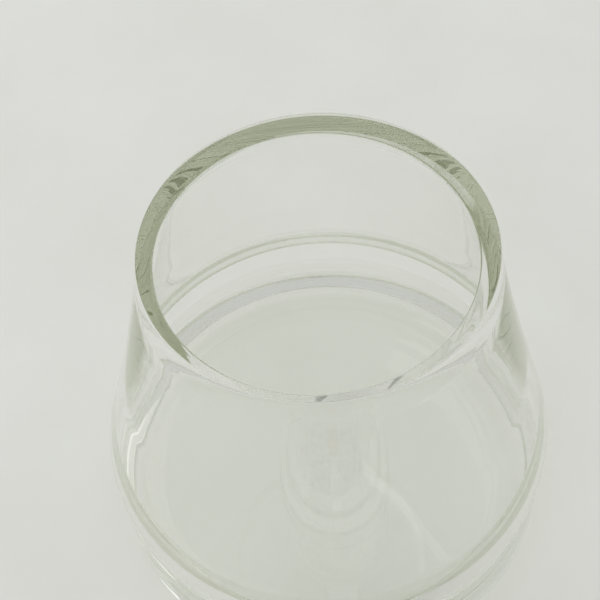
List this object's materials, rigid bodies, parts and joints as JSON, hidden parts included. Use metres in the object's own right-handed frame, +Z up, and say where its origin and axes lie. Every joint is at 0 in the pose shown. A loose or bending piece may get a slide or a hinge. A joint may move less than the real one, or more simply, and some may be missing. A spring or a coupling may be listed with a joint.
{
  "type": "glass desiccator",
  "caption": "Glass desiccator: wide flared vessel with a ground rim, domed lid with knob, footed perforated porcelain plate and silica gel canister.",
  "frame": {"origin": "centre of the vessel's flat base, on the surface that it stands on", "axes": "+Z up along the vessel's axis, -Y towards the lid that lies in front"},
  "size_m": [0.2154, 0.3697, 0.181],
  "materials": {
    "clear_glass": "clear, faintly green, fire-polished",
    "lid_glass": "clear, faintly green, ground flange",
    "silicone": "satin translucent",
    "porcelain": "glazed",
    "canister_metal": "satin",
    "screen_metal": "satin, perforated",
    "window_plastic": "clear",
    "silica_gel": "orange indicating beads"
  },
  "bodies": {
    "vessel": {"vessel": "clear_glass"},
    "lid": {"lid": "lid_glass", "seal_ring": "silicone"},
    "plate": {"porcelain_plate": "porcelain"},
    "canister": {"canister_band": "canister_metal", "front_screen": "screen_metal", "rear_screen": "screen_metal", "indicator_window": "window_plastic", "desiccant_charge": "silica_gel"}
  },
  "joints": [
    {"name": "lid_turnover", "type": "hinge", "parent": "vessel", "child": "lid", "pos_m": [0, -0.096, 0.13355], "axis": [-1, 0, 0], "range_deg": [0, 180]},
    {"name": "plate_slide", "type": "slide", "parent": "lid", "child": "plate", "axis": [0, 0, 1], "range_m": [0, 0.175]},
    {"name": "canister_slide", "type": "slide", "parent": "plate", "child": "canister", "axis": [0, 0, 1], "range_m": [0, 0.0076]}
  ]
}
